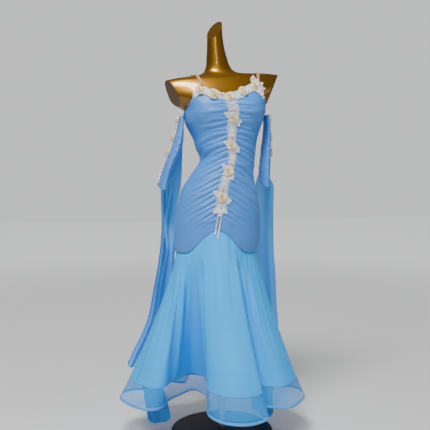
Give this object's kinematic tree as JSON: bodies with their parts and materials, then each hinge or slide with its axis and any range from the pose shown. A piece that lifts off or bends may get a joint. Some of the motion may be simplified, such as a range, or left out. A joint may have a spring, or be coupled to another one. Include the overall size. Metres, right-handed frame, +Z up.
{
  "type": "ballroom dance dress on a limbless dress form with a stand",
  "caption": "Blue floor-length ballroom dance dress with ruched bodice, lace trim, arm sleeves with floats and a lobed skirt, on a gold dress form with a round stand.",
  "frame": {"origin": "middle of the round base's underside, on the floor", "axes": "+Z up along the stand; -Y the way the front of the dress faces; +X to the right of someone who looks at that front"},
  "size_m": [0.7038, 0.5998, 1.5541],
  "materials": {
    "gold_lacquer": "smooth metallic gold lacquer over a moulded form",
    "black_paint": "black powder coat",
    "brushed_steel": "brushed steel tube",
    "blue_jersey": "sky-blue stretch jersey with a soft sheen",
    "blue_organza": "sky-blue organza, slightly see-through at the hem",
    "blue_lining": "plain opaque blue underskirt cloth",
    "blue_binding": "bright-blue bound horsehair edge",
    "blue_chiffon": "soft blue chiffon",
    "nude_elastic": "skin-coloured elastic",
    "white_lace": "white guipure lace",
    "cream_tulle": "cream tulle gathered into rosettes",
    "coral_ribbon": "coral ribbon folded into rosebuds",
    "clear_stones": "clear faceted stones in silver cups"
  },
  "bodies": {
    "root": {"bodice_back": "blue_jersey", "bodice_front_left": "blue_jersey", "bodice_front_right": "blue_jersey", "bud_front_1": "coral_ribbon", "bud_front_2": "coral_ribbon", "bud_front_3": "coral_ribbon", "bud_front_4": "coral_ribbon", "bud_left_1": "coral_ribbon", "bud_left_2": "coral_ribbon", "bud_left_3": "coral_ribbon", "bud_neck_1": "coral_ribbon", "bud_right_1": "coral_ribbon", "bud_right_2": "coral_ribbon", "bud_right_3": "coral_ribbon", "dress_form": "gold_lacquer", "float_left_front": "blue_chiffon", "float_left_rear": "blue_chiffon", "float_right": "blue_chiffon", "hem_binding": "blue_binding", "lace_front": "white_lace", "lace_neckline": "white_lace", "lace_sleeve_left": "white_lace", "lace_sleeve_right": "white_lace", "rhinestone_drops": "clear_stones", "rosette_front_1": "cream_tulle", "rosette_front_2": "cream_tulle", "rosette_front_3": "cream_tulle", "rosette_front_4": "cream_tulle", "rosette_left_1": "cream_tulle", "rosette_left_2": "cream_tulle", "rosette_left_3": "cream_tulle", "rosette_neck_1": "cream_tulle", "rosette_neck_2": "cream_tulle", "rosette_neck_3": "cream_tulle", "rosette_neck_4": "cream_tulle", "rosette_neck_5": "cream_tulle", "rosette_right_1": "cream_tulle", "rosette_right_2": "cream_tulle", "rosette_right_3": "cream_tulle", "skirt_back": "blue_organza", "skirt_front": "blue_organza", "sleeve_left": "blue_jersey", "sleeve_right": "blue_jersey", "stand_base": "black_paint", "stand_pole": "brushed_steel", "stand_socket": "black_paint", "strap_left": "nude_elastic", "strap_right": "nude_elastic", "underskirt_back": "blue_lining", "underskirt_front": "blue_lining"}
  },
  "joints": []
}
